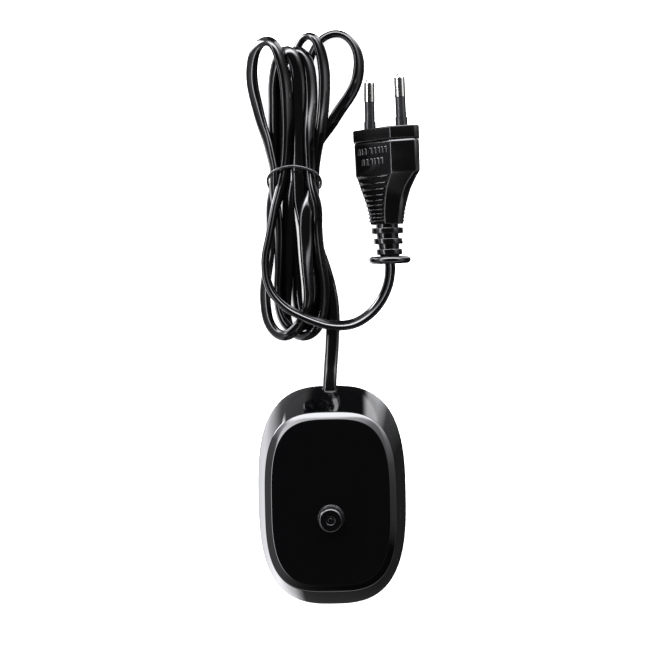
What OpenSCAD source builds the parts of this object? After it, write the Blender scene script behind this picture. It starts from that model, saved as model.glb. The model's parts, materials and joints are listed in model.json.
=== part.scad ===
// Inductive charging base for an electric toothbrush, with its flat mains cord in a tied hank
// and a two-pin Europlug. Millimetres. The origin is on the table under the middle of the base,
// +Z is up and +Y points to the side where the cord leaves.

/* [Housing] */
// Width of the housing at its foot
base_w = 55.2; // [50:0.2:62]
// Length of the housing at its foot
base_l = 81.6; // [76:0.2:90]
// Height of the flat top face above the table
base_h = 20; // [18:0.5:24]
// Width of the flat top face
top_w = 42.6; // [38:0.2:44]
// Length of the flat top face
top_l = 60; // [56:0.2:62]
// How far the top face sits forward of the foot's middle
top_forward = 1; // [0:0.1:2]
// Width of the bevel that frames the top face
bevel_w = 2.7; // [2:0.1:3]
// Drop of that bevel
bevel_drop = 1.6; // [1:0.1:2.4]
// Wall thickness of the housing
wall = 2; // [1.6:0.1:2.2]
// Roundness of the foot's outline, where 2 is an ellipse
foot_power = 2.85; // [2.4:0.05:3.4]
// Roundness of the top face's outline
top_power = 3.2; // [2.6:0.05:3.8]

/* [Charging post] */
// Diameter of the post that the brush handle sits on
post_d = 8.7; // [8:0.1:9]
// Height of the post above the top face
post_h = 8; // [7:0.5:10]
// Diameter of the low collar round the foot of the post
collar_d = 9.4; // [9.2:0.1:10]
// Distance of the post in front of the foot's middle
post_forward = 6.5; // [4:0.5:8]
// Diameter of the ferrite rod inside the post
rod_d = 5; // [4:0.5:5]

/* [Mains cord] */
// Width of the flat two-core cord
cord_w = 5; // [4.6:0.1:5.6]
// Thickness of the flat two-core cord
cord_t = 2.8; // [2.8:0.1:3.6]
// Height of the hank of cord
hank_h = 11.5; // [10:0.5:14]
// Thickness of the coated wire that ties the hank
tie_d = 1; // [0.8:0.1:1.4]

/* [Plug] */
// Width of the plug
plug_w = 35.2; // [34:0.1:35.3]
// Thickness of the plug
plug_t = 13.8; // [13.5:0.1:13.9]
// Depth of the insert that carries the pins
insert_depth = 4.8; // [4:0.1:6]
// Depth of the full-width part of the plug behind the pin face
full_depth = 16.5; // [14:0.5:18]
// Depth of the grip behind the pin face
grip_depth = 34.5; // [34:0.5:35]
// Diameter of the round flange at the end of the strain relief
flange_d = 15.5; // [14:0.5:16]
// Diameter of a pin
pin_d = 4; // [3.94:0.01:4.06]
// Length of a pin beyond the face
pin_l = 19; // [18.5:0.1:19.5]
// Length of the insulating sleeve on a pin
sleeve_l = 10.6; // [10:0.1:11]
// Distance between the pins at the face
pin_gap_root = 18.6; // [18:0.1:19.2]
// Distance between the pins at the tips
pin_gap_tip = 17.5; // [17:0.1:18]

/* [Hidden] */

$fn = 48;
gap = 0.05;          // clearance round a moulded-in piece

// Heights in the base, from the table up
foot_h = 1.2;        // height of a rubber foot
plate_z = 0.8;       // underside of the base plate
seam_z = 1.8;        // where the housing stands on the plate's flange
floor_z = 3;         // upper face of the base plate
straight_z = 3;      // the wall is upright below this height
bevel_z = base_h - bevel_drop;
roof_z = base_h - wall;
board_z = 5.5;       // underside of the circuit board
board_top = 7.1;     // upper face of the circuit board
cord_z = 5;          // height of the cord where it leaves the wall
cord_y = 40;         // where the cord leaves the wall
wall_curve = 1.15;   // above 1 the wall bows outward
ring_n = 48;         // points round an outline

// Places inside the base
post_y = -post_forward;
former_r = 10.5;
former_top = 14;
foot_spots = [[-15, -26], [15, -26], [-15, 26], [15, 26]];
board_posts = [[-15, 11], [15, 11], [-12, 30], [12, 30]];

// ---- Shared shapes -------------------------------------------------------

// Superellipse with half sizes a and b, as points in a plane
function oval(a, b, power, n = ring_n) =
    [for (i = [0 : n - 1])
        let (c = cos(360 * i / n), s = sin(360 * i / n))
        [a * sign(c) * pow(abs(c), 2 / power), b * sign(s) * pow(abs(s), 2 / power)]];

// The same outline at height z, shifted along Y
function oval_at(a, b, power, shift, z) = [for (p = oval(a, b, power)) [p[0], p[1] + shift, z]];

// Share of the way from the foot to the bevel at height z
function rise(z) = pow(max(0, z - straight_z) / (bevel_z - straight_z), wall_curve);
function blend(p, q, share) = p + (q - p) * share;

// Outline of the housing's wall at height z, moved inward by inset
function wall_ring(z, inset, at_z) =
    let (t = rise(z))
    oval_at(blend(base_w / 2, top_w / 2 + bevel_w, t) - inset,
            blend(base_l / 2, top_l / 2 + bevel_w, t) - inset,
            blend(foot_power, top_power, t), -top_forward * t, at_z);

// Solid through a stack of rings that all have the same number of points
module loft(rings) {
    n = len(rings[0]);
    last = len(rings) - 1;
    sides = [for (j = [0 : last - 1], i = [0 : n - 1])
        let (a = j * n + i, b = j * n + (i + 1) % n)
        each [[a, a + n, b + n], [a, b + n, b]]];
    bottom = [for (i = [0 : n - 1]) i];
    top = [for (i = [n - 1 : -1 : 0]) last * n + i];
    polyhedron(points = [for (r = rings) each r], faces = concat(sides, [bottom, top]));
}

// Tube swept along a route, with eight sides; its width stays square to the direction "level"
function unit(v) = v / norm(v);
function heading(route, i) =
    unit(route[min(i + 1, len(route) - 1)] - route[max(i - 1, 0)]);
function sweep_ring(route, i, w, t, level) =
    let (ahead = heading(route, i),
         side = unit(cross(ahead, level)),
         up = cross(side, ahead))
    [for (k = [0 : 7])
        let (turn = 22.5 + 45 * k)
        route[i] + side * w / 2 * cos(turn) / cos(22.5)
                 - up * t / 2 * sin(turn) / cos(22.5)];
module sweep(route, w, t, level) {
    loft([for (i = [0 : len(route) - 1]) sweep_ring(route, i, w, t, level)]);
}
module flat_cord(route) { sweep(route, cord_w, cord_t, [0, 0, 1]); }
module wire(route, r, level = [1, 0, 0]) { sweep(route, 2 * r, 2 * r, level); }

// ---- Base ----------------------------------------------------------------

module housing_outside() {
    loft([wall_ring(0, 0, seam_z), wall_ring(straight_z, 0, straight_z),
          for (z = [6, 9, 12, 15, bevel_z]) wall_ring(z, 0, z),
          oval_at(top_w / 2, top_l / 2, top_power, -top_forward, base_h)]);
}

module housing_inside() {
    loft([wall_ring(0, wall, seam_z - 1), wall_ring(straight_z, wall, straight_z),
          for (z = [7, 11, 15, roof_z]) wall_ring(z, wall, z)]);
}

// Round post with its collar, rounded shoulder and small dished middle
module post_outside() {
    r = post_d / 2;
    round_r = 1;
    straight_h = post_h - round_r;
    translate([0, post_y, base_h])
        rotate_extrude()
            polygon(concat(
                [[0, -1], [collar_d / 2, -1], [collar_d / 2, 0.5], [collar_d / 2 - 0.2, 0.7], [r, 0.7]],
                [for (a = [0 : 15 : 90]) [r - round_r + round_r * cos(a), straight_h + round_r * sin(a)]],
                [[1.5, post_h], [1, post_h - 0.4], [0, post_h - 0.4]]));
}

module cord_slot(grow) {
    spread = cord_w / 2 - cord_t / 2;
    r = cord_t / 2 + grow;
    translate([0, cord_y - 2.2, cord_z])
        rotate([-90, 0, 0])
            linear_extrude(height = 6)
                union() {
                    for (x = [-spread, spread]) translate([x, 0]) circle(r = r);
                    square([2 * spread, 2 * r], center = true);
                }
}

module upper_housing() {
    color([0.02, 0.02, 0.025])
        difference() {
            union() {
                housing_outside();
                post_outside();
            }
            housing_inside();
            translate([0, post_y, roof_z - 1]) cylinder(h = post_h + 1.5, d = rod_d + 0.5);
            cord_slot(0.4 + gap);
        }
}

module base_plate() {
    color([0.08, 0.08, 0.085])
        difference() {
            union() {
                translate([0, 0, plate_z])
                    linear_extrude(height = seam_z - plate_z)
                        polygon(oval(base_w / 2 - 0.7, base_l / 2 - 0.7, foot_power));
                translate([0, 0, seam_z])
                    linear_extrude(height = floor_z - seam_z)
                        polygon(oval(base_w / 2 - wall - 0.2, base_l / 2 - wall - 0.2, foot_power));
                for (p = board_posts) translate([p[0], p[1], floor_z]) cylinder(h = board_z - floor_z, d = 4);
            }
            for (p = foot_spots) translate([p[0], p[1], 0]) cylinder(h = foot_h, d = 8.2);
        }
}

module rubber_feet() {
    color([0.15, 0.15, 0.16])
        for (p = foot_spots)
            translate([p[0], p[1], 0])
                rotate_extrude() polygon([[0, 0], [3.6, 0], [4, 0.4], [4, foot_h], [0, foot_h]]);
}

module cord_grommet() {
    color([0.1, 0.1, 0.1])
        union() {
            intersection() {
                cord_slot(0.4);
                translate([-10, cord_y - 3, 0]) cube([20, 3, 10]);
            }
            translate([-5.5, 34.4, floor_z]) cube([11, 3.5, 4.2]);
        }
}

// ---- Electronics ---------------------------------------------------------

module circuit_board() {
    color([0.12, 0.35, 0.16])
        difference() {
            translate([0, 0, board_z])
                linear_extrude(height = board_top - board_z)
                    polygon([[-19, 8], [19, 8], [19, 24], [15, 33], [-15, 33], [-19, 24]]);
            translate([0, 8, board_z - 1]) cylinder(h = 4, r = 3);
        }
}

module on_board(x, y) { translate([x, y, board_top]) children(); }

module film_capacitor() { color([0.75, 0.62, 0.15]) on_board(-13, 21) cube([13, 6, 8]); }

module electrolytic_capacitor() {
    color([0.1, 0.12, 0.3])
        on_board(8.5, 12)
            translate([0, 0, 4.1])
                rotate([-90, 0, 0])
                    rotate_extrude()
                        polygon([[0, 0], [4, 0], [4, 1.2], [3.7, 1.6], [4, 2], [4, 12], [3.4, 12.3], [0, 12]]);
}

module resonance_capacitor() { color([0.55, 0.12, 0.1]) on_board(-7, 12) cube([7.5, 4, 6.5]); }

module bridge_rectifier() {
    color([0.06, 0.06, 0.06])
        on_board(3, 26) {
            translate([0, 0, 0.4]) cube([6.4, 4.6, 2.6]);
            for (x = [1.2, 5.2], y = [0.3, 4.3]) translate([x, y, 0]) cylinder(h = 0.5, r = 0.3);
        }
}

module fusible_resistor() {
    color([0.45, 0.6, 0.5])
        on_board(0, 0)
            union() {
                translate([-11, 30, 2]) rotate([0, 90, 0]) cylinder(h = 8, d = 3.2);
                wire([[-12.6, 30, 0], [-12.6, 30, 1.4], [-12, 30, 2], [-10, 30, 2]], 0.3, [0, 1, 0]);
                wire([[-1.4, 30, 0], [-1.4, 30, 1.4], [-2, 30, 2], [-4, 30, 2]], 0.3, [0, 1, 0]);
            }
}

module switching_transistor() {
    color([0.07, 0.07, 0.07])
        on_board(15.4, 13)
            union() {
                difference() {
                    translate([0, 0, 2]) cylinder(h = 4.6, d = 4.8);
                    translate([-3, 1.2, 1]) cube([6, 3, 7]);
                }
                for (x = [-1.27, 0, 1.27]) translate([x, 0, 0]) cylinder(h = 2.2, r = 0.25);
            }
}

module choke() {
    color([0.35, 0.2, 0.08])
        on_board(-14, 14.5)
            rotate_extrude()
                polygon([[0, 0], [3.6, 0], [3.6, 1], [3, 1], [3, 7], [3.6, 7], [3.6, 8], [0, 8]]);
}

module coil_former() {
    color([0.85, 0.83, 0.75])
        translate([0, post_y, floor_z])
            difference() {
                union() {
                    cylinder(h = 1, r = former_r);
                    cylinder(h = former_top - floor_z, r = rod_d / 2 + 1.6);
                    translate([0, 0, former_top - floor_z - 1]) cylinder(h = 1, r = former_r);
                }
                translate([0, 0, -1]) cylinder(h = 16, d = rod_d + 0.3);
            }
}

module primary_winding() {
    color([0.72, 0.38, 0.18])
        translate([0, post_y, floor_z + 1])
            difference() {
                cylinder(h = former_top - floor_z - 2, r = former_r - 1);
                translate([0, 0, -1]) cylinder(h = 14, r = rod_d / 2 + 1.6);
            }
}

module ferrite_rod() {
    color([0.2, 0.2, 0.21])
        translate([0, post_y, floor_z]) cylinder(h = base_h + post_h - 2 - floor_z, d = rod_d);
}

module coil_leads() {
    color([0.72, 0.38, 0.18])
        for (x = [-3, 3])
            wire([[x, post_y + 9.2, 8], [x, post_y + 12, 8.6], [x * 1.2, 9.5, 8.8],
                  [x * 1.3, 10.4, 8.2], [x * 1.3, 10.5, board_top]], 0.35);
}

module supply_wire(x) {
    wire([[x * 1.3, 34.4, cord_z], [x * 2.4, 33.9, 7.6], [x * 3.4, 32.6, 8.9],
          [x * 4, 31.6, 8.4], [x * 4, 31.6, board_top]], 0.8);
}
module supply_wire_brown() { color([0.35, 0.17, 0.08]) supply_wire(-1); }
module supply_wire_blue() { color([0.1, 0.25, 0.6]) supply_wire(1); }

// ---- Cord ----------------------------------------------------------------

lead_route = [[0, cord_y, cord_z], [0, 42, 4.9], [0.2, 45, 4.2], [0.4, 48, 3.2], [0.7, 51.5, 2.3],
              [1, 55, 1.7], [1.3, 60, 1.5], [1.6, 65, 1.5], [1.5, 70, 1.5], [1.1, 74, 1.5], [0.2, 79, 1.5],
              [-1.2, 84.2, 1.5]];
tail_route = [[-15.2, 120.4, 7.4], [-16.2, 116, 8.2], [-17.4, 111.6, 9.4], [-18.8, 106.6, 10.8],
              [-20, 101, 12], [-21.2, 95.2, 12.8], [-22.4, 89.6, 13.2], [-22.6, 84.8, 13.3],
              [-22, 80.4, 13.3], [-20.6, 76.4, 13.3], [-18, 72.8, 13.3], [-14.4, 69.6, 13.3],
              [-10, 67.2, 13.2], [-5.2, 65.2, 12.8], [0, 63.6, 11.8], [5.6, 63.2, 10.2],
              [10.4, 64.2, 8.8], [14.8, 66.8, 8.2], [18.4, 70.4, 8.3], [21, 74.6, 9.2],
              [22.6, 79, 10.6], [23.2, 83.2, 11.9]];
waist_x = -11.7;     // middle of the tied waist
waist_y = 118;
waist_w = 18.6;

module cord_lead() { color([0.03, 0.03, 0.035]) flat_cord(lead_route); }

module cord_tail() { color([0.03, 0.03, 0.035]) flat_cord(concat(tail_route, [plug_spot(relief_end)])); }

// The hank fans out from its tied waist to loops at both ends
module cord_hank() {
    color([0.04, 0.04, 0.045])
        difference() {
            linear_extrude(height = hank_h)
                union() {
                    hull() {
                        translate([waist_x, waist_y]) square([waist_w, 6], center = true);
                        translate([-21.8, 155.5]) circle(r = 8.2, $fn = 32);
                        translate([-19, 164]) circle(r = 7.6, $fn = 32);
                        translate([4, 163]) circle(r = 11.2, $fn = 32);
                    }
                    hull() {
                        translate([waist_x, waist_y]) square([waist_w, 6], center = true);
                        translate([-16.5, 66]) circle(r = 9.6, $fn = 32);
                        translate([-18, 76]) circle(r = 8.2, $fn = 32);
                        translate([-6, 68]) circle(r = 8.2, $fn = 32);
                    }
                }
            translate([-30, waist_y - 0.8, -1]) cube([40, 1.6, 1 + tie_d]);
        }
}

// Coated wire bent once round the waist of the hank
module wire_tie() {
    outer_w = waist_w + 2 * tie_d;
    color([0.12, 0.12, 0.12])
        translate([waist_x, waist_y, 0])
            difference() {
                translate([-outer_w / 2, -tie_d / 2, 0]) cube([outer_w, tie_d, hank_h + tie_d]);
                translate([-waist_w / 2, -tie_d, tie_d]) cube([waist_w, 2 * tie_d, hank_h - tie_d]);
            }
}

// ---- Plug ----------------------------------------------------------------
// In the plug's own frame the face is at Y = 0, the pins point to +Y and X runs across both pins.

plug_face = [22.5, 134.8, 15.1];
plug_yaw = 0.8;      // lean to the left of the pins
plug_pitch = 2.9;    // lift of the pins
plug_roll = -52;     // rotation about the cord's axis, right side up
flat_half = 10.7;    // half width of a broad face
edge_half = 1.2;     // half height of a narrow edge
relief_end = 49.4;   // end of the strain relief behind the pin face
flange_t = 3;        // thickness of the round flange
neck_w = 7.7;        // half width of the grip at its narrow end
neck_flat = 4.3;     // half width of its broad face there
neck_t = 4.4;        // half thickness there
rib_h = 0.6;         // how far a rib stands proud
rib_t = 0.7;         // thickness of a rib
tab_t = 2;           // thickness of a joint of the strain relief
tab_pitch = 3.9;     // spacing of those joints
plug_dir = [-sin(plug_yaw) * cos(plug_pitch), cos(plug_yaw) * cos(plug_pitch), sin(plug_pitch)];
function plug_spot(behind) = plug_face - behind * plug_dir;
pin_lean = atan((pin_gap_root - pin_gap_tip) / 2 / pin_l);

module at_plug() {
    translate(plug_face)
        rotate([0, 0, plug_yaw])
            rotate([plug_pitch, 0, 0])
                rotate([0, plug_roll, 0])
                    children();
}

// Flattened octagon: half width, half width of the broad face, half thickness, half edge
function plug_section(w, flat, t, edge, y) =
    [for (p = [[w, -edge], [w, edge], [flat, t], [-flat, t], [-w, edge], [-w, -edge], [-flat, -t], [flat, -t]])
        [p[0], y, p[1]]];

// Share left of the grip's narrowing, 1 at its start and 0 at the strain relief
function left_at(behind) = (grip_depth - behind) / (grip_depth - full_depth);
function grip_w(behind) = blend(neck_w, plug_w / 2 - 0.2, pow(left_at(behind), 2.2));
function grip_flat(behind) = blend(neck_flat, flat_half - 0.4, pow(left_at(behind), 1.7));
function grip_t(behind) = blend(neck_t, plug_t / 2 - 0.45, left_at(behind));

module pin_axis(side) {
    translate([side * pin_gap_root / 2, 0, 0])
        rotate([0, 0, side * pin_lean])
            rotate([-90, 0, 0])
                children();
}

core_joint = 34;     // where the two cores come together behind the face
module core_path(side, r) {
    root = [side * (pin_gap_root / 2 + 0.3), -13, 0];
    bend = [side * 1.4, -core_joint, 0];
    wire([root, bend, [side * 1.4, -relief_end, 0]], r, [0, 0, 1]);
}

module relief() {
    union() {
        translate([0, -grip_depth + 1, 0])
            rotate([90, 0, 0])
                rotate_extrude()
                    polygon([[0, 0], [4.1, 0], [3.4, relief_end - grip_depth - 1], [0, relief_end - grip_depth - 1]]);
        for (i = [0 : 2])
            translate([0, -grip_depth - 1.7 - tab_pitch * i, 0])
                rotate([90, 0, 0]) cylinder(h = tab_t, d = 11.7 - 1.1 * i);
        translate([0, -relief_end, 0])
            rotate([-90, 0, 0])
                rotate_extrude()
                    polygon([for (p = [[0, 0], [6.6, 0], [7.4, 0.6], [7.75, 1.5], [7.4, 2.4], [6.6, 3], [0, 3]])
                        [p[0] * flange_d / 15.5, p[1] * flange_t / 3]]);
    }
}

// Soft overmoulded grip with ribs on both broad faces and a jointed strain relief
module plug_body() {
    color([0.03, 0.03, 0.035])
        at_plug()
            difference() {
                union() {
                    loft([plug_section(plug_w / 2 - 0.1, flat_half - 0.1, plug_t / 2 - 0.1, edge_half, -insert_depth),
                          for (s = [full_depth, 20, 24, 28, 32, grip_depth])
                              plug_section(grip_w(s), grip_flat(s), grip_t(s), 1.1, -s)]);
                    for (i = [0 : 9])
                        let (s = full_depth + 0.6 + 2.4 * i - 0.07 * i * i)
                        translate([-0.9 * grip_flat(s), -s - rib_t, -grip_t(s) - rib_h])
                            cube([1.8 * grip_flat(s), rib_t, 2 * grip_t(s) + 2 * rib_h]);
                    relief();
                }
                for (side = [-1, 1]) {
                    core_path(side, 1.1 + gap);
                    pin_axis(side) translate([0, 0, -14]) cylinder(h = 14, r = 1.9 + gap);
                }
            }
}

// Hard front insert that holds the pins
module plug_insert() {
    color([0.05, 0.05, 0.055])
        at_plug()
            difference() {
                loft([for (y = [0, -insert_depth])
                    plug_section(plug_w / 2 + 0.05, flat_half + 0.1, plug_t / 2 + 0.05, edge_half, y)]);
                for (side = [-1, 1])
                    pin_axis(side) translate([0, 0, -10]) cylinder(h = 20, r = 1.5 + gap);
            }
}

// Nickel-plated pin with a thinner shank under the sleeve and through the insert
module plug_pin(side) {
    r = pin_d / 2;
    color([0.8, 0.79, 0.76])
        at_plug()
            pin_axis(side)
                rotate_extrude()
                    polygon(concat([[0, -9], [1.5, -9], [1.5, sleeve_l], [r, sleeve_l]],
                                   [for (a = [0 : 15 : 90]) [r * cos(a), pin_l - r + r * sin(a)]]));
}

module plug_sleeve(side) {
    color([0.1, 0.1, 0.11])
        at_plug()
            pin_axis(side)
                difference() {
                    union() {
                        cylinder(h = sleeve_l, d = 3.8);
                        cylinder(h = 3.3, d = 4.4);
                    }
                    translate([0, 0, -1]) cylinder(h = sleeve_l + 2, r = 1.5 + gap);
                }
}

// Crimp barrel that joins a core to the root of its pin
module plug_crimp(side) {
    color([0.75, 0.6, 0.3])
        at_plug()
            pin_axis(side)
                translate([0, 0, -13.4]) cylinder(h = 4.4, r = 1.9);
}

module plug_pin_left() { plug_pin(-1); }
module plug_pin_right() { plug_pin(1); }
module plug_sleeve_left() { plug_sleeve(-1); }
module plug_sleeve_right() { plug_sleeve(1); }
module plug_crimp_left() { plug_crimp(-1); }
module plug_crimp_right() { plug_crimp(1); }

// Insulated core from the crimp down to the end of the strain relief
module plug_core(side) {
    at_plug()
        difference() {
            core_path(side, 1.1);
            pin_axis(side) translate([0, 0, -13.4]) cylinder(h = 10, r = 2.4);
        }
}
module plug_core_brown() { color([0.35, 0.17, 0.08]) plug_core(-1); }
module plug_core_blue() { color([0.1, 0.25, 0.6]) plug_core(1); }

// ---- Nodes ---------------------------------------------------------------

upper_housing();
base_plate();
rubber_feet();
cord_grommet();
circuit_board();
film_capacitor();
electrolytic_capacitor();
resonance_capacitor();
bridge_rectifier();
fusible_resistor();
switching_transistor();
choke();
coil_former();
primary_winding();
ferrite_rod();
coil_leads();
supply_wire_brown();
supply_wire_blue();
cord_lead();
cord_hank();
cord_tail();
wire_tie();
plug_body();
plug_insert();
plug_pin_left();
plug_pin_right();
plug_sleeve_left();
plug_sleeve_right();
plug_crimp_left();
plug_crimp_right();
plug_core_brown();
plug_core_blue();
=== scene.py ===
"""Toothbrush charging base with its hank of flat cord: the look, the light and the camera."""

import json
import math

import bmesh
import bpy
import numpy as np
from mathutils import Matrix, Vector


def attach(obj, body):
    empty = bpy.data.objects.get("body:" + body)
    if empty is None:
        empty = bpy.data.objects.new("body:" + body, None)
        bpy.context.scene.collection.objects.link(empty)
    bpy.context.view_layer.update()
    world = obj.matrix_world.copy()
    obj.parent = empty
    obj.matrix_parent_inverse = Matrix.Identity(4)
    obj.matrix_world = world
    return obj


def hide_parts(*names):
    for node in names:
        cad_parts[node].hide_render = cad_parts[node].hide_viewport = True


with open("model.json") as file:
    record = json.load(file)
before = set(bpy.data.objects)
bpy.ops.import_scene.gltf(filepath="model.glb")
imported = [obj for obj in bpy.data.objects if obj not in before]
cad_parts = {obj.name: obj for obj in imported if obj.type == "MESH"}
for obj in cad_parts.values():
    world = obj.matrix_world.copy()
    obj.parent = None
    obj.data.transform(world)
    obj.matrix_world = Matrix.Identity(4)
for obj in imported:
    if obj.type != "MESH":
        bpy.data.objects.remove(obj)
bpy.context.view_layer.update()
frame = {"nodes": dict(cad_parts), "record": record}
MM = 0.001


def points(rows):
    return np.array(rows, dtype=float)


# ---- Mesh helpers ---------------------------------------------------------


def add_object(name, data):
    obj = bpy.data.objects.new(name, data)
    bpy.context.collection.objects.link(obj)
    return obj


def shade(mesh, sharp):
    """Smooth faces, with a sharp edge wherever two meet at more than this angle in degrees."""
    mesh.polygons.foreach_set("use_smooth", [True] * len(mesh.polygons))
    mesh.set_sharp_from_angle(angle=math.radians(sharp))


def ring_faces(count, n):
    """Faces of the wall through a number of rings, with n points each."""
    return [(j * n + k, j * n + (k + 1) % n, (j + 1) * n + (k + 1) % n, (j + 1) * n + k)
            for j in range(count - 1) for k in range(n)]


def ring_mesh(name, rings, loop=False, place=None, sharp=40):
    """Closed mesh through rings with the same number of points. A loop closes on its first ring,
    and otherwise each end closes on its middle point."""
    n = len(rings[0])
    verts = [tuple(p) for r in rings for p in r]
    faces = ring_faces(len(rings), n)
    last = len(rings) - 1
    if loop:
        faces += [(last * n + k, last * n + (k + 1) % n, (k + 1) % n, k) for k in range(n)]
    else:
        for j, flip in ((0, True), (last, False)):
            middle = len(verts)
            verts.append(tuple(np.mean(rings[j], axis=0)))
            for k in range(n):
                a, b = j * n + k, j * n + (k + 1) % n
                faces.append((b, a, middle) if flip else (a, b, middle))
    verts = np.array(verts, dtype=float)
    if place is not None:
        verts = place(verts)
    mesh = bpy.data.meshes.new(name)
    mesh.from_pydata((verts * MM).tolist(), [], faces)
    bm = bmesh.new()
    bm.from_mesh(mesh)
    bmesh.ops.recalc_face_normals(bm, faces=bm.faces)
    bm.to_mesh(mesh)
    bm.free()
    shade(mesh, sharp)
    return add_object(name, mesh)


def join(name, parts):
    """One object from several."""
    bm = bmesh.new()
    for p in parts:
        bm.from_mesh(p.data)
    mesh = bpy.data.meshes.new(name)
    bm.to_mesh(mesh)
    bm.free()
    for p in parts:
        bpy.data.objects.remove(p)
    shade(mesh, 40)
    return add_object(name, mesh)


def hollow(obj, rings):
    """Take the rings' closed shape out of obj."""
    tool = ring_mesh("cutter", rings)
    cut = obj.modifiers.new("cut", "BOOLEAN")
    cut.operation = "DIFFERENCE"
    cut.solver = "EXACT"
    cut.object = tool
    bpy.context.view_layer.update()
    done = bpy.data.meshes.new_from_object(obj.evaluated_get(bpy.context.evaluated_depsgraph_get()))
    obj.modifiers.clear()
    obj.data = done
    bpy.data.objects.remove(tool)


def spline(a, b, c, d, t):
    """Point of a smooth curve at share t of the way from b to c, with a before them and d after."""
    return 0.5 * (2 * b + (c - a) * t + (2 * a - 5 * b + 4 * c - d) * t * t
                  + (3 * b - a - 3 * c + d) * t ** 3)


def unit(v):
    return v / np.maximum(np.linalg.norm(v, axis=-1, keepdims=True), 1e-12)


# ---- Camera ---------------------------------------------------------------

camera_data = bpy.data.cameras.new("camera")
camera_data.lens = 80.1
camera_data.sensor_width = 36
camera_data.shift_x = -0.0731
camera_data.shift_y = 0.01
camera = add_object("camera", camera_data)
camera.location = (0.0163, 0.06075, 0.544)
camera.rotation_euler = (0, 0, math.radians(-1.1))
bpy.context.scene.camera = camera

# ---- The cord -------------------------------------------------------------
# Millimetres and degrees: x, y, z and the roll of the flat cord, 0 flat and 90 on its edge.
# The lead and the tail repeat the routes of the CAD solids.

CORD_W = 5.0
CORD_T = 2.8

LEAD = [(0, 38.5, 5, 0), (0, 40, 5, 0), (0, 42, 4.9, 0), (0.2, 45, 4.2, 0), (0.4, 48, 3.2, 0),
        (0.7, 51.5, 2.3, 0), (1, 55, 1.7, 0), (1.3, 60, 1.5, 0), (1.6, 65, 1.5, 0), (1.5, 70, 1.5, 0),
        (1.1, 74, 1.5, 0), (0.2, 79, 1.5, 0)]

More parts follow.
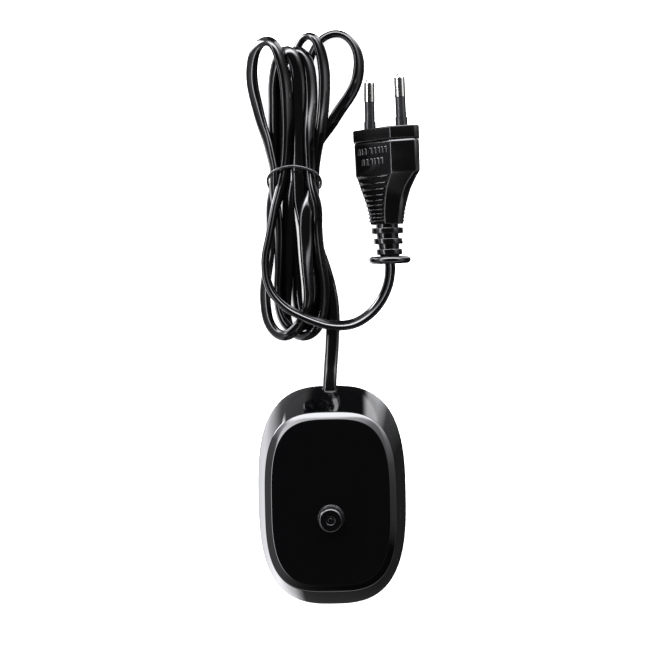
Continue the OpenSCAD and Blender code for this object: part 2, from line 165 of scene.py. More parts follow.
LOOPS = {
    "lead_up": [(-1.2, 84.2, 1.5, 0), (-3, 89.8, 1.5, 0), (-5, 95.6, 1.5, 0), (-6.8, 101.2, 1.5, 0),
            (-8.4, 106.8, 1.5, 10), (-9.6, 112.4, 1.9, 45), (-10.4, 116.4, 2.4, 70)],
    "loop_5": [(-10.6, 120.2, 2.5, 80), (-10.8, 125.6, 2.5, 75), (-10.8, 131.2, 2.5, 65),
            (-10.2, 138.6, 2.6, 60), (-9.2, 145.6, 2.8, 60), (-7.8, 152.4, 2.8, 62),
            (-6.4, 158.8, 2.8, 66), (-4.6, 164.8, 2.8, 70), (-2, 169.4, 2.9, 76), (1.6, 172, 2.9, 80),
            (5.8, 172.6, 2.9, 80), (10, 170.2, 2.9, 72), (12.6, 165.8, 2.9, 58), (13.2, 160.2, 2.8, 46),
            (12, 154, 2.7, 42), (9.2, 148.8, 2.6, 40), (5.6, 144, 2.5, 40), (2.4, 139.2, 2.5, 42),
            (-1, 134.8, 2.4, 48), (-4, 130, 2.4, 58), (-6.4, 125, 2.5, 72)],
    "down_d": [(-7.6, 120.2, 2.5, 80), (-8, 115.6, 3, 60), (-7.4, 111.2, 3.8, 30), (-6.4, 105.8, 4.2, 15),
            (-5.2, 99.8, 4.4, 10), (-4, 93, 4.4, 15), (-3, 86.4, 4.2, 30), (-2.8, 79.6, 3.6, 50),
            (-2.8, 73.6, 3, 62)],
    "bend_4": [(-3.2, 68.4, 2.9, 66), (-4.4, 64.4, 2.9, 66), (-6.6, 62.2, 2.9, 66), (-9, 63.2, 2.9, 66),
            (-10.2, 66.8, 2.9, 60)],
    "up_l3": [(-11.6, 72, 2.8, 50), (-11.8, 78.8, 2.7, 50), (-12.4, 86.2, 2.7, 55), (-12.8, 93.6, 2.7, 60),
            (-13.2, 101.2, 2.7, 65), (-14.4, 108.8, 2.6, 72), (-15.6, 114.8, 2.5, 80)],
    "loop_3": [(-16, 120.4, 2.5, 80), (-16.8, 125.6, 2.5, 75), (-17.2, 131.2, 2.7, 65),
            (-17.2, 138.8, 2.8, 62), (-17.2, 146, 2.9, 62), (-16.8, 152.4, 3.1, 62), (-16, 158, 3.6, 62),
            (-14.2, 162.6, 4.4, 62), (-11.6, 165.6, 5.2, 60), (-8.4, 165.4, 5.6, 50),
            (-6.4, 162.8, 5.6, 42), (-5.2, 158.6, 5.5, 38), (-4.8, 153.4, 5.6, 36),
            (-4.8, 146.8, 6.2, 36), (-5.2, 140, 7.2, 40), (-5.4, 133.2, 8.2, 48), (-5.6, 126.8, 8.6, 60)],
    "down_c": [(-5.6, 120.4, 8.8, 68), (-5.2, 114.4, 9.4, 70), (-4.4, 108.4, 9.4, 66), (-4, 102.4, 9, 60),
            (-3.4, 96.6, 8.6, 58), (-2.8, 90.6, 8.2, 56), (-2, 84, 7.6, 54), (-1.6, 78, 7, 54)],
    "bend_3": [(-1.6, 72, 6, 56), (-2.4, 66.4, 4.6, 60), (-4.8, 62, 3.4, 62), (-8.4, 59.6, 3, 64),
            (-12.2, 60, 2.9, 64), (-15, 63, 2.9, 60)],
    "up_l4": [(-16, 67.4, 2.9, 50), (-16, 72.8, 3.2, 36), (-15.6, 78.8, 3.8, 24), (-15.2, 85, 4.6, 16),
            (-14.6, 91.6, 5.2, 12), (-14.2, 98.4, 5.6, 12), (-14.2, 105.2, 5.8, 20), (-14, 111.2, 5, 42),
            (-13.6, 115.8, 4, 65)],
    "loop_4": [(-13.2, 120.4, 2.5, 80), (-13.4, 125.6, 2.5, 75), (-13.6, 131.2, 2.5, 65),
            (-13.4, 138.6, 2.6, 60), (-13, 146, 2.8, 60), (-12.6, 152.4, 3, 62), (-12, 158.4, 3.2, 66),
            (-11, 164.2, 3.6, 74), (-9.4, 168.8, 4.2, 80), (-6.8, 171.4, 4.8, 82), (-4, 171.2, 5, 72),
            (-2, 168.6, 5, 56), (-0.8, 164.6, 4.8, 44), (0, 159.6, 4.6, 40), (0.2, 154.2, 4.6, 40),
            (-0.2, 147.6, 4.8, 42), (-1, 140, 5.4, 48), (-2.2, 132.8, 6, 58), (-3.4, 126, 5, 70)],
    "down_a": [(-4.2, 120, 4.4, 74), (-4.8, 115.6, 5.8, 44), (-5.8, 110.8, 8, 10), (-6.8, 105.6, 9.6, 0),
            (-7.4, 99.6, 10, 2), (-7.4, 93.6, 9.8, 16), (-7.2, 87.2, 9.2, 36), (-6.8, 80.4, 8.6, 52),
            (-6.6, 74.4, 8.4, 58)],
    "bend_1": [(-7.6, 69, 8.6, 58), (-10, 64.4, 9, 56), (-13.2, 60.8, 9, 54), (-16.8, 59.4, 8.8, 52),
            (-20, 61.4, 8.2, 50), (-22.4, 65.6, 7.4, 46), (-23.2, 71, 6.8, 44)],
    "up_l2": [(-23.4, 76.8, 6.2, 46), (-22.6, 83.2, 5.4, 50), (-21.6, 89.6, 4.6, 52), (-21, 96, 3.4, 50),
            (-20.6, 102.4, 2.4, 46), (-20.2, 108.8, 2.2, 50), (-19.4, 114.8, 2.6, 66)],
    "loop_2": [(-18.8, 120.4, 2.5, 80), (-18.8, 125.6, 2.6, 76), (-19.2, 131.2, 3.6, 66),
            (-19.4, 138.4, 4.4, 62), (-19.2, 146, 4.8, 62), (-19.2, 152.2, 5.2, 62),
            (-18.4, 157.6, 6, 54), (-17, 162.4, 7, 44), (-14.8, 165.2, 8, 34),
            (-12.2, 164.8, 8.4, 24), (-10.4, 161.8, 8.2, 16), (-9.6, 157.6, 7.8, 14), (-9.2, 152.4, 7.4, 12),
            (-9.2, 145.6, 7, 10), (-9.2, 139.2, 7, 8), (-9.4, 132.4, 7, 8), (-9.6, 126.4, 7.2, 8)],
    "down_b": [(-10, 120.4, 8, 8), (-9.4, 114.4, 7.6, 12), (-8.8, 108.4, 7.2, 14), (-8, 102.4, 7, 16),
            (-7.2, 96.4, 6.6, 18), (-6.4, 90.8, 6.2, 24), (-5.6, 84.8, 5.8, 34), (-5, 78.8, 5.4, 44)],
    "bend_2": [(-5, 72.8, 5.2, 50), (-6.8, 67, 5.2, 54), (-9.6, 63.4, 5.2, 56), (-12.6, 61.6, 5.2, 58),
            (-15.4, 63, 5.4, 60), (-17.4, 66.4, 5.6, 66)],
    "up_l1": [(-18.6, 71.2, 5.8, 74), (-18.8, 77.2, 6.4, 78), (-18.2, 83.6, 6.8, 78),
            (-18, 89.8, 6.6, 74), (-17.8, 96, 6, 70), (-18, 102.8, 5.6, 62),
            (-18.6, 109.2, 5.6, 58), (-19, 115.2, 6.4, 66)],
    "loop_1": [(-18.8, 120.8, 7, 75), (-20, 126, 6.4, 68), (-21.4, 132.4, 5.6, 58), (-23.6, 139.2, 4.8, 50),
            (-25.2, 146, 4.4, 40), (-26.6, 152.8, 5, 34), (-26.8, 158.8, 6, 34),
            (-25.8, 164.4, 7.2, 42), (-23.6, 168, 8.6, 48), (-20.4, 169, 10, 50), (-17.4, 166.8, 10.8, 48),
            (-15.6, 161.8, 10.8, 46), (-14.4, 156.4, 10.2, 44), (-13.8, 150, 9.6, 44),
            (-13.6, 143.2, 9.2, 44), (-13.6, 136.8, 8.8, 46), (-14, 130.8, 8.2, 50),
            (-14.4, 125.6, 7.8, 55)],
    "tail_down": [(-15.2, 120.4, 7.4, 56), (-16.2, 116, 8.2, 56), (-17.4, 111.6, 9.4, 60)],
}

TAIL = [(-18.8, 106.6, 10.8, 72), (-20, 101, 12, 82), (-21.2, 95.2, 12.8, 82),
        (-22.4, 89.6, 13.2, 82), (-22.6, 84.8, 13.3, 80), (-22, 80.4, 13.3, 78),
        (-20.6, 76.4, 13.3, 76), (-18, 72.8, 13.3, 74), (-14.4, 69.6, 13.3, 72),
        (-10, 67.2, 13.2, 68), (-5.2, 65.2, 12.8, 64), (0, 63.6, 11.8, 60), (5.6, 63.2, 10.2, 56),
        (10.4, 64.2, 8.8, 55), (14.8, 66.8, 8.2, 55), (18.4, 70.4, 8.3, 55), (21, 74.6, 9.2, 54),
        (22.6, 79, 10.6, 53), (23.2, 83.2, 11.9, 52), (23.2, 85.5, 12.5, 52),
        (23.2, 87, 12.6, 52)]

ORDER = ["lead_up", "loop_5", "down_d", "bend_4", "up_l3", "loop_3", "down_c", "bend_3", "up_l4", "loop_4",
         "down_a", "bend_1", "up_l2", "loop_2", "down_b", "bend_2", "up_l1", "loop_1", "tail_down"]


def smooth_route(rows, step):
    """Curve through the rows, sampled every step millimetres."""
    rows = points(rows)
    ends = np.vstack([2 * rows[0] - rows[1], rows, 2 * rows[-1] - rows[-2]])
    fine = []
    for i in range(1, len(ends) - 2):
        fine += [spline(*ends[i - 1:i + 3], k / 12) for k in range(12)]
    fine = np.array(fine + [rows[-1]])
    run = np.concatenate([[0], np.cumsum(np.linalg.norm(np.diff(fine[:, :3], axis=0), axis=1))])
    count = int(round(run[-1] / step)) + 1
    at = np.linspace(0, run[-1], count)
    return np.stack([np.interp(at, run, fine[:, k]) for k in range(4)], axis=1)


def cord_axes(route):
    """Direction, width axis and thickness axis at each point of a route."""
    ahead = unit(np.gradient(route[:, :3], axis=0))
    flat = unit(np.cross(ahead, [0, 0, 1]))
    up = np.cross(flat, ahead)
    roll = np.radians(route[:, 3])[:, None]
    side = flat * np.cos(roll) + up * np.sin(roll)
    return ahead, side, np.cross(side, ahead)


TIE_T = 1.0          # thickness of the tie's wire
TIE_Y = 116          # where it runs under the hank


def table(p):
    """Height of what the cord lies on: the table, or the tie's wire where it runs under the hank."""
    return TIE_T * np.exp(-((p[:, 1] - TIE_Y) / 5) ** 2) * (p[:, 0] < 0)


def spread(values, times):
    """Share out values along the cord, so that a push bends it gently."""
    for _ in range(times):
        values[1:-1] = (values[:-2] + 2 * values[1:-1] + values[2:]) / 4
    return values


PUSH = 0.6           # share of an overlap taken back in one round
SIDEWAYS = 0.12      # share of a push that may move a strand along the table


def settle(route, loose, rounds=70):
    """Press strands that share a place apart, mostly upward, and keep them on the table."""
    route = route.copy()
    count = len(route)
    near = np.abs(np.subtract.outer(np.arange(count), np.arange(count))) * STEP < NEIGHBOUR
    for _ in range(rounds):
        ahead, side, thick = cord_axes(route)
        p = route[:, :3]
        apart = p[:, None] - p[None]
        dist = np.linalg.norm(apart, axis=2)
        i, j = np.nonzero((dist < CORD_W) & ~near)
        n = apart[i, j] / np.maximum(dist[i, j], 1e-6)[:, None]

        def reach(k):
            return np.sqrt((CORD_W / 2 * (n * side[k]).sum(1)) ** 2
                           + (CORD_T / 2 * (n * thick[k]).sum(1)) ** 2
                           + (0.3 * (n * ahead[k]).sum(1)) ** 2)

        short = np.clip(reach(i) + reach(j) - dist[i, j], 0, None)
        push = np.zeros_like(p)
        weight = np.zeros(count)
        np.add.at(push, i, n * short[:, None] * PUSH)
        np.add.at(weight, i, (short > 0) * 1.0)
        push /= np.maximum(weight, 1)[:, None]
        push[:, :2] *= SIDEWAYS
        p += spread(push, 12) * loose[:, None]
        low = table(p) + np.sqrt((CORD_W / 2 * side[:, 2]) ** 2 + (CORD_T / 2 * thick[:, 2]) ** 2)
        p[:, 2] += spread(np.clip(low - p[:, 2], 0, None), 2) * loose
    return route


STEP = 1.5           # spacing of the cord's sections
NEIGHBOUR = 9        # sections closer than this along the cord never push each other
LEAD_LENGTH = 55     # the lead and the tail keep to the routes of the CAD solids
TAIL_LENGTH = 105
EASE = 20            # length over which the hank comes free to move

rows = list(LEAD)
for name in ORDER:
    rows += LOOPS[name]
rows += TAIL
route = smooth_route(rows, STEP)
run = np.arange(len(route)) * STEP
loose = np.clip((run - LEAD_LENGTH) / EASE, 0, 1) * np.clip((run[-1] - TAIL_LENGTH - run) / EASE, 0, 1)
route[:, 3] = spread(route[:, 3], 12)
route = settle(route, loose)
route[:, :3] += (spread(route[:, :3].copy(), 3) - route[:, :3]) * loose[:, None]


def section(width, thick, n):
    """Outline of the flat cord: an oval, a little fuller than an ellipse."""
    out = []
    for k in range(n):
        a = 2 * math.pi * k / n
        c, s = math.cos(a), math.sin(a)
        out.append((width / 2 * math.copysign(abs(c) ** 0.9, c),
                    thick / 2 * math.copysign(abs(s) ** 0.85, s)))
    return np.array(out)


def tube(name, centre, side, thick, ring):
    """Mesh tube through the rings, closed at both ends."""
    n = len(ring)
    verts = centre[:, None] + side[:, None] * ring[None, :, :1] + thick[:, None] * ring[None, :, 1:]
    faces = ring_faces(len(centre), n)
    faces.append(tuple(range(n - 1, -1, -1)))
    last = (len(centre) - 1) * n
    faces.append(tuple(range(last, last + n)))
    mesh = bpy.data.meshes.new(name)
    mesh.from_pydata((verts.reshape(-1, 3) * MM).tolist(), [], faces)
    mesh.polygons.foreach_set("use_smooth", [True] * len(mesh.polygons))
    return add_object(name, mesh)


ahead, side, thick = cord_axes(route)
cord = tube("mains_cord", route[:, :3], side, thick, section(CORD_W, CORD_T, 24))
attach(cord, "root")
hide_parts("cord_lead", "cord_hank", "cord_tail")

# ---- Housing --------------------------------------------------------------

RING = 240               # points in an outline
FOOT_X, FOOT_Y = 27.6, 40.8     # half width and half length of the foot
NECK_X, NECK_Y = 24.0, 32.7     # and of the wall's upper end, where the bevel starts
NECK_Z = 18.4
WALL_FROM, WALL_RISE = 3, 15.4  # the wall leans in over this height
WALL_T = 2.0
TOP_Z = 20
POST_Y, POST_R = -6.5, 4.35
COLLAR_R = 4.7
POST_TOP = 28


def oval(a, b, power, shift, z):
    """Outline with half sizes a and b, squarer for a higher power, moved along y by shift."""
    t = np.linspace(0, 2 * math.pi, RING, endpoint=False)
    c, s = np.cos(t), np.sin(t)
    return np.stack([a * np.sign(c) * np.abs(c) ** (2 / power),
                     b * np.sign(s) * np.abs(s) ** (2 / power) + shift,
                     np.full(RING, float(z))], axis=1)


def wall(z, inset=0.0):
    """Outline of the housing's wall at height z."""
    t = (max(0, z - WALL_FROM) / WALL_RISE) ** 1.15
    return oval(FOOT_X + (NECK_X - FOOT_X) * t - inset, FOOT_Y + (NECK_Y - FOOT_Y) * t - inset,
                2.85 + 0.35 * t, -t, z)


def circle(r, z):
    """Outline round the post's axis."""
    t = np.linspace(0, 2 * math.pi, RING, endpoint=False)
    return np.stack([r * np.cos(t), POST_Y + r * np.sin(t), np.full(RING, float(z))], axis=1)


def turned(before, corner, after, r, n=5):
    """Rings that round a corner ring, starting r millimetres before it and ending r after."""
    def toward(other):
        d = other - corner
        return corner + d * (r / np.linalg.norm(d, axis=1, keepdims=True))
    p, q = toward(before), toward(after)
    return [(1 - t) ** 2 * p + 2 * t * (1 - t) * corner + t * t * q for t in np.linspace(0, 1, n)]


bevel_edge = wall(NECK_Z)
top_edge = oval(21.3, 30.0, 3.2, -1, TOP_Z)
top_in = oval(19.3, 28.0, 3.2, -1, TOP_Z)
rings = [wall(1.8, 0.25), wall(2.05)]
rings += [wall(z) for z in np.linspace(3, 18.0, 24)]
rings += turned(wall(18.0), bevel_edge, top_edge, 0.38)
rings += turned(bevel_edge, top_edge, top_in, 0.42)
collar = circle(COLLAR_R, TOP_Z)
rings += [top_in] + [top_in * (1 - t) + circle(5.4, TOP_Z) * t for t in (0.25, 0.5, 0.75, 1)]
rings += turned(circle(5.4, TOP_Z), collar, circle(COLLAR_R, 21), 0.12)
rings += turned(collar, circle(COLLAR_R, 20.7), circle(POST_R, 20.75), 0.15)
rings += turned(circle(COLLAR_R, 20.7), circle(4.37, 20.7), circle(POST_R, 22), 0.1)
rings += [circle(POST_R, z) for z in (21.2, 23, 25, 26.9)]
rings += [circle(3.35 + math.cos(a), 27 + math.sin(a)) for a in np.radians([8, 22, 36, 50, 64, 78, 90])]
rings += [circle(r, POST_TOP) for r in (2.6, 1.75)]
rings += [circle(r, z) for r, z in ((1.6, 27.97), (1.5, 27.86), (1.46, 27.6), (1.36, 27.56), (1.1, 27.55),
                                    (0.95, 27.55), (0.9, 27.58), (0.86, 27.68), (0.78, 27.74),
                                    (0.5, 27.76), (0.02, 27.76))]
housing = ring_mesh("housing_shell", rings, sharp=50)
hollow(housing, [wall(z, WALL_T) for z in (1.2, 3, 6, 9, 12, 15, 18)])
# Slot in the back wall that the cord leaves through
slot_t = np.linspace(0, 2 * math.pi, 48, endpoint=False)
slot_x = np.clip(np.cos(slot_t) * 9, -1, 1) * 1.1 + np.cos(slot_t) * 1.85
slot_z = 5 + np.sin(slot_t) * 1.85
hollow(housing, [np.stack([slot_x, np.full(48, y), slot_z], axis=1) for y in (36.5, 44)])
shade(housing.data, 50)
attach(housing, "root")
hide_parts("upper_housing")

# ---- Tie ------------------------------------------------------------------

TIE = [(-20.2, 114.6, 0.6), (-21.2, 115.4, 2.2), (-21.7, 117, 4.8), (-21.2, 118.8, 7.4), (-19.2, 120.4, 10.2),
       (-16, 121.6, 12), (-12, 122, 12.7), (-8, 121.4, 12.8), (-4.8, 120.2, 12), (-2.6, 118.6, 9.4),
       (-1.9, 117.2, 6.6), (-2, 116, 3.6), (-3, 115, 1), (-6, 114.8, 0.5), (-11.6, 114.8, 0.5),
       (-17, 114.6, 0.5)]


def closed_tube(name, rows, r, n=12):
    """Round wire of radius r in a closed curve through the rows."""
    rows = points(rows)
    rows = np.vstack([rows[-2:], rows, rows[:2]])
    fine = []
    for i in range(2, len(rows) - 2):
        fine += [spline(*rows[i - 1:i + 3], k / 8) for k in range(8)]
    fine = np.array(fine)
    ahead = unit(np.roll(fine, -1, axis=0) - np.roll(fine, 1, axis=0))
    side = unit(np.cross(ahead, [0, 1, 0.2]))
    up = np.cross(side, ahead)
    t = np.linspace(0, 2 * math.pi, n, endpoint=False)
    rings = [fine[i] + r * (np.outer(np.cos(t), side[i]) + np.outer(np.sin(t), up[i]))
             for i in range(len(fine))]
    return ring_mesh(name, rings, loop=True, sharp=80)


tie = closed_tube("tie_wire", TIE, TIE_T / 2)
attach(tie, "root")
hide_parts("wire_tie")

# ---- Plug -----------------------------------------------------------------


def turn(axis, degrees):
    return np.array(Matrix.Rotation(math.radians(degrees), 3, axis))


PLUG_TURN = turn("Z", 0.8) @ turn("X", 2.9) @ turn("Y", -52)
PLUG_FACE = np.array([22.5, 134.8, 15.1])


def at_plug(verts):
    return verts @ PLUG_TURN.T + PLUG_FACE


def at_grip(verts):
    """The soft grip and relief bow a little to the left between the full-width part and the end disc."""
    out = at_plug(verts)
    out[:, 0] -= 0.62 * np.interp(-verts[:, 1], [16.5, 22, 38, 46], [0, 1, 1, 0])
    return out


def plug_ring(s, w, flat, t, edge, soft=0.45, rib=0.0):
    """Section of the plug s millimetres behind the pin face, with its eight corners softened.
    A rib raises the broad faces, the lower one by three quarters."""
    corners = [(w, -edge), (w, edge), (flat, t), (-flat, t), (-w, edge), (-w, -edge), (-flat, -t), (flat, -t)]
    out = []
    for k in range(8):
        c = np.array(corners[k])
        p, q = np.array(corners[k - 1]), np.array(corners[(k + 1) % 8])
        r1 = min(soft, np.linalg.norm(p - c) * 0.45)
        r2 = min(soft, np.linalg.norm(q - c) * 0.45)
        p = c + unit(p - c) * r1
        q = c + unit(q - c) * r2
        for u in np.linspace(0, 1, 5):
            out.append((1 - u) ** 2 * p + 2 * u * (1 - u) * c + u * u * q)
        if k in (2, 6):
            z = t if k == 2 else -t
            up = rib if k == 2 else -0.75 * rib
            x = flat if k == 2 else -flat
            for share, lift in ((0.93, 0), (0.9, 0.8), (0.84, 1), (-0.84, 1), (-0.9, 0.8), (-0.93, 0)):
                out.append(np.array([x * share, z + up * lift]))
    return [(x, -s, z) for x, z in out]


INSERT = (17.6, 10.8, 6.9, 1.2)     # half width, half flat, half thickness and half edge
GRIP_FULL = 16.5     # the overmould keeps its full size up to here behind the face
GRIP_END = 34.5


def grip(s):
    """Half width, half flat, half thickness and half edge of the overmould at s."""
    if s <= GRIP_FULL:
        u = s / GRIP_FULL
        return 17.5 - 0.1 * u, 10.6 - 0.3 * u, 6.8 - 0.35 * u, 1.2
    u = max(0, (GRIP_END - s) / (GRIP_END - GRIP_FULL))
    return 7.7 + 9.7 * u ** 2.2, 4.3 + 6 * u ** 1.7, 4.4 + 2.05 * u ** 1.1, 1.1


def grown(values, by):
    w, flat, t, edge = values
    return w + by, flat + by * 0.5, t + by, edge + by * 0.3


front = [plug_ring(s, *grown(INSERT, by))
         for s, by in ((0.02, -0.45), (0.1, -0.2), (0.3, -0.05), (0.6, 0), (4.1, 0), (4.35, -0.08),
                       (4.55, -0.35), (4.6, -1.25), (5.6, -1.3))]
insert = ring_mesh("plug_front", front, place=at_plug, sharp=45)
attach(insert, "root")
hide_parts("plug_insert")

body = [plug_ring(4.7, *grown(grip(5), -1.1)), plug_ring(4.75, *grown(grip(5), -0.5)),
        plug_ring(5.5, *grown(grip(5.5), -0.05))]
body += [plug_ring(s, *grip(s)) for s in (5.7, 10, 16.2, 16.7, 17.0)]
# Ribs stand closer together and a little taller towards the cord
RIB_COUNT = 10
RIB_FIRST, RIB_PITCH, RIB_CLOSER = 17.1, 2.4, 0.07
RIB_H, RIB_TALLER = 0.75, 0.045
RIB_PROFILE = ((0.0, 0.0), (0.05, 0.08), (0.52, 0.92), (0.62, 1.0), (0.8, 1.0), (0.88, 0.9),
               (0.94, 0.1), (0.98, 0.0))
for i in range(RIB_COUNT):
    s = RIB_FIRST + RIB_PITCH * i - RIB_CLOSER * i * i
    rib = RIB_H + RIB_TALLER * i
    for ds, h in RIB_PROFILE:
        body.append(plug_ring(s + ds, *grip(s + ds), rib=rib * h))
for ds, less in ((0.0, 0), (0.2, 0.05), (0.35, 0.2), (0.42, 0.5)):
    body.append(plug_ring(GRIP_END + ds, *grown(grip(GRIP_END), -less)))


def lathe(name, profile, n=72):
    """Closed mesh turned about the plug's axis from (distance behind the face, radius)."""
    t = np.linspace(0, 2 * math.pi, n, endpoint=False)
    rings = [[(r * math.cos(a), -s, r * math.sin(a)) for a in t] for s, r in profile]
    return ring_mesh(name, rings, place=at_grip, sharp=45)


def soft_disc(s0, s1, r, soft):
    """Profile of a disc with rounded rims."""
    return ([(s0, r - soft)]
            + [(s0 + soft * (1 - math.cos(a)), r - soft * (1 - math.sin(a)))
               for a in np.radians([20, 45, 70, 90])]
            + [(s1 - soft * (1 - math.cos(a)), r - soft * (1 - math.sin(a)))
               for a in np.radians([90, 70, 45, 20])]
            + [(s1, r - soft)])


relief = [(33.8, 4.1), (36.05, 4.1)]
for i in range(3):
    relief += soft_disc(36.1 + 3.9 * i, 38.3 + 3.87 * i, 5.85 - 0.55 * i, 0.35)
    relief += [(38.35 + 3.87 * i, 4.1 - 0.2 * i), (39.95 + 3.9 * i, 4.0 - 0.2 * i)]
relief = [p for p in relief if p[0] < 46.2] + [(46.45, 3.5)]
relief += [(46.5, 6.2), (46.6, 6.7), (46.9, 7.2), (47.4, 7.62), (47.9, 7.75), (48.4, 7.62), (48.9, 7.2),
           (49.2, 6.7), (49.3, 6.2), (49.4, 3.2)]
# Rows of plain raised bars on the broad face: each bar's start and width
MARK_LENGTH = 2.4
mark_face = grip(9)[2] - 0.05
marks = []
for row_s, row in ((7.0, (-8.4, 1.5, -6.2, 0.7, -4.8, 1.5, -2.2, 2.2, 0.9, 1.4, 3.1, 1.4, 5.3, 1.0,
                          7.0, 1.4)),
                   (10.9, (-6.2, 1.5, -4.0, 1.5, -1.8, 2.0, 1.0, 0.7, 2.4, 1.5, 4.6, 1.5))):
    for x, wide in zip(row[::2], row[1::2]):
        rings = [[(x + px, -(row_s + ps), mark_face + h) for px, ps in
                  ((e, e), (wide - e, e), (wide - e, MARK_LENGTH - e), (e, MARK_LENGTH - e))]
                 for h, e in ((-0.3, 0.0), (0.04, 0.0), (0.22, 0.3))]
        marks.append(ring_mesh("mark", rings, place=at_plug, sharp=30))
grip_piece = join("plug_grip", [ring_mesh("a", body, place=at_grip), lathe("b", relief)] + marks)
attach(grip_piece, "root")
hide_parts("plug_body")

# ---- Materials ------------------------------------------------------------


def finish(name, color, rough, metal=0.0, grain=0.4, bump=0.02, vary=0.03, tone=0.15, stretch=None):
    """A procedural finish: grain in millimetres, its bump, and how far roughness and tone vary."""
    mat = bpy.data.materials.new(name)
    mat.use_nodes = True
    tree = mat.node_tree
    new, link = tree.nodes.new, tree.links.new
    b = tree.nodes["Principled BSDF"]
    b.inputs["Metallic"].default_value = metal
    b.inputs["IOR"].default_value = 1.5
    place = new("ShaderNodeTexCoord")
    where = place.outputs["Object"]
    if stretch:
        scale = new("ShaderNodeMapping")
        scale.inputs["Scale"].default_value = stretch
        link(where, scale.inputs["Vector"])
        where = scale.outputs["Vector"]

    def noise(size, detail=3.0):
        n = new("ShaderNodeTexNoise")
        n.inputs["Scale"].default_value = 1000 / size
        n.inputs["Detail"].default_value = detail
        link(where, n.inputs["Vector"])
        return n.outputs["Fac"]

    wide = noise(9.0)
    fine = noise(grain)
    spread_r = new("ShaderNodeMapRange")
    spread_r.inputs["From Min"].default_value = 0.3
    spread_r.inputs["From Max"].default_value = 0.7
    spread_r.inputs["To Min"].default_value = max(0.02, rough - vary)
    spread_r.inputs["To Max"].default_value = rough + vary
    link(wide, spread_r.inputs["Value"])
    link(spread_r.outputs[0], b.inputs["Roughness"])
    mix = new("ShaderNodeMix")
    mix.data_type = "RGBA"
    mix.inputs["A"].default_value = (*[c * (1 - tone) for c in color], 1)
    mix.inputs["B"].default_value = (*[min(1, c * (1 + tone)) for c in color], 1)
    link(fine, mix.inputs["Factor"])
    link(mix.outputs["Result"], b.inputs["Base Color"])
    lift = new("ShaderNodeBump")
    lift.inputs["Strength"].default_value = 1.0
    lift.inputs["Distance"].default_value = bump * MM
    link(fine, lift.inputs["Height"])
    link(lift.outputs["Normal"], b.inputs["Normal"])
    return mat


MATERIALS = {
    "gloss_black": finish("gloss_black", (0.0005, 0.0005, 0.0006), 0.05, grain=6, bump=0.002, vary=0.02),
    "matte_black": finish("matte_black", (0.012, 0.012, 0.013), 0.55, grain=0.35, bump=0.03, vary=0.08),
    "rubber_grey": finish("rubber_grey", (0.05, 0.05, 0.053), 0.8, grain=0.5, bump=0.03, vary=0.08),
    "board_green": finish("board_green", (0.03, 0.13, 0.05), 0.35, grain=0.8, bump=0.01),
    "film_yellow": finish("film_yellow", (0.6, 0.42, 0.05), 0.4, grain=0.6, bump=0.01),
    "can_blue": finish("can_blue", (0.03, 0.05, 0.2), 0.25, grain=2, bump=0.01),
    "epoxy_red": finish("epoxy_red", (0.35, 0.04, 0.03), 0.3, grain=1.2, bump=0.03),
    "epoxy_black": finish("epoxy_black", (0.02, 0.02, 0.02), 0.5, grain=0.3, bump=0.015),
    "resistor_green": finish("resistor_green", (0.2, 0.34, 0.26), 0.6, grain=0.3, bump=0.02),
    "ferrite": finish("ferrite", (0.05, 0.05, 0.055), 0.6, grain=0.25, bump=0.02),
    "former_white": finish("former_white", (0.7, 0.67, 0.58), 0.5, grain=0.8, bump=0.01),
    "copper": finish("copper", (0.62, 0.25, 0.1), 0.25, metal=1.0, grain=0.2, bump=0.05, stretch=(1, 1, 12)),
    "core_brown": finish("core_brown", (0.15, 0.06, 0.025), 0.35, grain=0.8, bump=0.01),
    "core_blue": finish("core_blue", (0.02, 0.09, 0.4), 0.35, grain=0.8, bump=0.01),
    "cord_black": finish("cord_black", (0.001, 0.001, 0.0011), 0.13, grain=0.7, bump=0.004, vary=0.04),
    "tie_black": finish("tie_black", (0.006, 0.006, 0.0065), 0.22, grain=0.6, bump=0.01, vary=0.05),
    "plug_black": finish("plug_black", (0.0008, 0.0008, 0.0009), 0.16, grain=0.5, bump=0.004, vary=0.04),
    "insert_black": finish("insert_black", (0.0008, 0.0008, 0.0009), 0.18, grain=0.4, bump=0.006, vary=0.04),
    "nickel": finish("nickel", (0.5, 0.49, 0.47), 0.16, metal=1.0, grain=0.25, bump=0.004, vary=0.06,
                     tone=0.06, stretch=(1, 0.15, 1)),
    "sleeve_grey": finish("sleeve_grey", (0.006, 0.0063, 0.007), 0.24, grain=0.4, bump=0.006, vary=0.05),
    "crimp_brass": finish("crimp_brass", (0.6, 0.45, 0.18), 0.3, metal=1.0, grain=0.5, bump=0.01),
}
for piece, slot in ((cord, "cord_black"), (housing, "gloss_black"), (tie, "tie_black"),
                    (insert, "insert_black"), (grip_piece, "plug_black")):
    piece.data.materials.clear()
    piece.data.materials.append(MATERIALS[slot])
slots = {p["node"]: p["material_slot"] for p in frame["record"]["subparts"]}
for name, node in frame["nodes"].items():
    mat = MATERIALS[slots[name]]
    if not node.material_slots:
        node.data.materials.append(mat)
    for k in range(len(node.material_slots)):
        node.material_slots[k].material = mat

# ---- Stage ----------------------------------------------------------------

mesh = bpy.data.meshes.new("floor")
mesh.from_pydata([(-12, -12, 0), (12, -12, 0), (12, 12, 0), (-12, 12, 0)], [], [(0, 1, 2, 3)])
floor = add_object("floor", mesh)
paper = finish("paper", (0.85, 0.85, 0.85), 0.9, grain=1.5, bump=0.01, tone=0.01)
glow = paper.node_tree.nodes["Principled BSDF"]
glow.inputs["Emission Color"].default_value = (1, 1, 1, 1)
glow.inputs["Emission Strength"].default_value = 0.7
floor.data.materials.append(paper)
floor.visible_glossy = False

BRIGHTEST = 20       # a ramp holds shares of this brightness

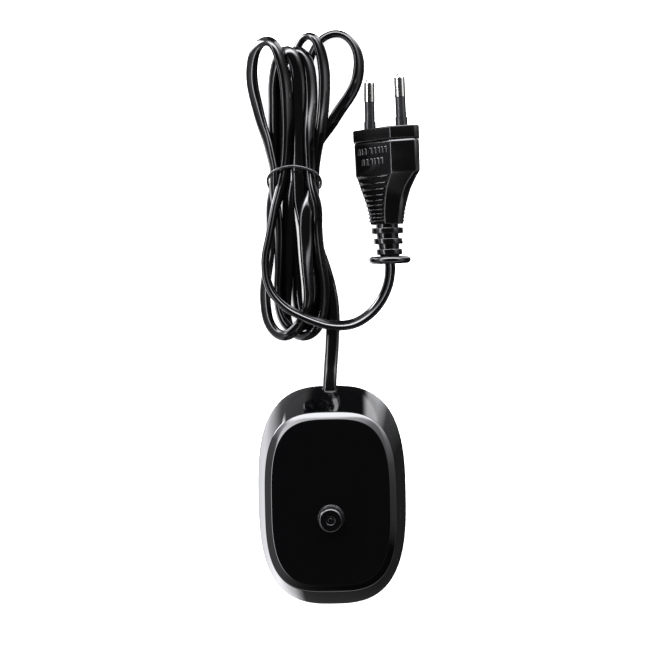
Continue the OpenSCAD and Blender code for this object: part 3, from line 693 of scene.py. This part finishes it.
# Brightness of each band by compass degrees, from straight below to near the top
DEEP = [(-180, 2.2), (-130, 2.4), (-112, 1.4), (-104, 0.1), (-60, 0.04), (0, 0.04), (30, 0.3), (48, 3),
        (62, 3), (68, 0.04), (97, 0.04), (104, 0.35), (138, 0.5), (152, 1.7), (168, 2.2), (180, 2.2)]
LOW = [(-180, 0.12), (-150, 0.4), (-112, 0.8), (-104, 0.1), (-60, 0.04), (0, 0.04), (30, 0.3), (48, 5),
       (64, 5), (71, 0.03), (98, 0.03), (104, 0.5), (130, 0.5), (136, 22), (152, 22), (159, 0.4),
       (180, 0.12)]
LEVEL = [(-180, 0.5), (-130, 0.6), (-112, 2.4), (-80, 3), (-40, 1.6), (0, 0.4), (50, 1.2), (80, 4),
         (112, 4), (135, 0.8), (180, 0.5)]
MID = [(-180, 0.9), (-140, 0.9), (-110, 0.2), (-90, 0.02), (-20, 0.02), (0, 0.9), (20, 3), (46, 12),
       (60, 22), (118, 22), (134, 6), (160, 1.2), (180, 0.9)]
HIGH = [(-180, 14), (-150, 10), (-120, 0.3), (-20, 0.2), (0, 1), (50, 3), (64, 5), (120, 12), (160, 14),
        (180, 14)]


def make_world():
    """A studio all round: bands of light by compass direction, one above another, and a dark ceiling."""
    world = bpy.data.worlds.new("studio")
    bpy.context.scene.world = world
    world.use_nodes = True
    tree = world.node_tree
    new, link = tree.nodes.new, tree.links.new
    where = new("ShaderNodeTexCoord")
    split = new("ShaderNodeSeparateXYZ")
    link(where.outputs["Generated"], split.inputs[0])
    turn = new("ShaderNodeMath")
    turn.operation = "ARCTAN2"
    link(split.outputs["Y"], turn.inputs[0])
    link(split.outputs["X"], turn.inputs[1])
    share = new("ShaderNodeMapRange")
    share.inputs["From Min"].default_value = -math.pi
    share.inputs["From Max"].default_value = math.pi
    link(turn.outputs[0], share.inputs["Value"])

    def band(stops):
        """Brightness by compass degrees, where 0 is right, 90 behind and 180 left."""
        ramp = new("ShaderNodeValToRGB")
        bar = ramp.color_ramp
        while len(bar.elements) > 1:
            bar.elements.remove(bar.elements[-1])
        for k, (angle, level) in enumerate(stops):
            at = (angle + 180) / 360
            e = bar.elements[0] if k == 0 else bar.elements.new(at)
            e.position = at
            e.color = (level / BRIGHTEST, level / BRIGHTEST, level / BRIGHTEST * 1.04, 1)
        link(share.outputs[0], ramp.inputs["Fac"])
        return ramp.outputs["Color"]

    def over(low, high, start, end):
        """Low below the height start, high above the height end."""
        step = new("ShaderNodeMapRange")
        step.interpolation_type = "SMOOTHSTEP"
        step.inputs["From Min"].default_value = start
        step.inputs["From Max"].default_value = end
        link(split.outputs["Z"], step.inputs["Value"])
        mix = new("ShaderNodeMix")
        mix.data_type = "RGBA"
        link(step.outputs[0], mix.inputs["Factor"])
        link(low, mix.inputs["A"])
        if high is None:
            mix.inputs["B"].default_value = (0.002, 0.002, 0.002, 1)
        else:
            link(high, mix.inputs["B"])
        return mix.outputs["Result"]

    light = over(band([(angle, level * 0.3) for angle, level in DEEP]), band(DEEP), -0.99, -0.86)
    light = over(light, band(LOW), -0.58, -0.5)
    light = over(light, band(LEVEL), -0.06, 0.02)
    light = over(light, band(MID), 0.2, 0.28)
    light = over(light, band(HIGH), 0.54, 0.58)
    light = over(light, None, 0.64, 0.7)
    back = tree.nodes["Background"]
    link(light, back.inputs["Color"])
    back.inputs["Strength"].default_value = BRIGHTEST


make_world()


def softbox(name, place, aim, size, power, mirrored=True):
    data = bpy.data.lights.new(name, "AREA")
    data.shape = "RECTANGLE"
    data.size, data.size_y = size
    data.energy = power
    obj = add_object(name, data)
    obj.location = place
    obj.rotation_euler = (Vector(aim) - Vector(place)).to_track_quat("-Z", "Y").to_euler()
    obj.visible_camera = False
    obj.visible_glossy = mirrored


softbox("ceiling_softbox", (0, 0.06, 1.6), (0, 0.06, 0), (2.6, 2.6), 44, mirrored=False)

scene = bpy.context.scene
scene.view_settings.view_transform = "Standard"
scene.view_settings.look = "None"
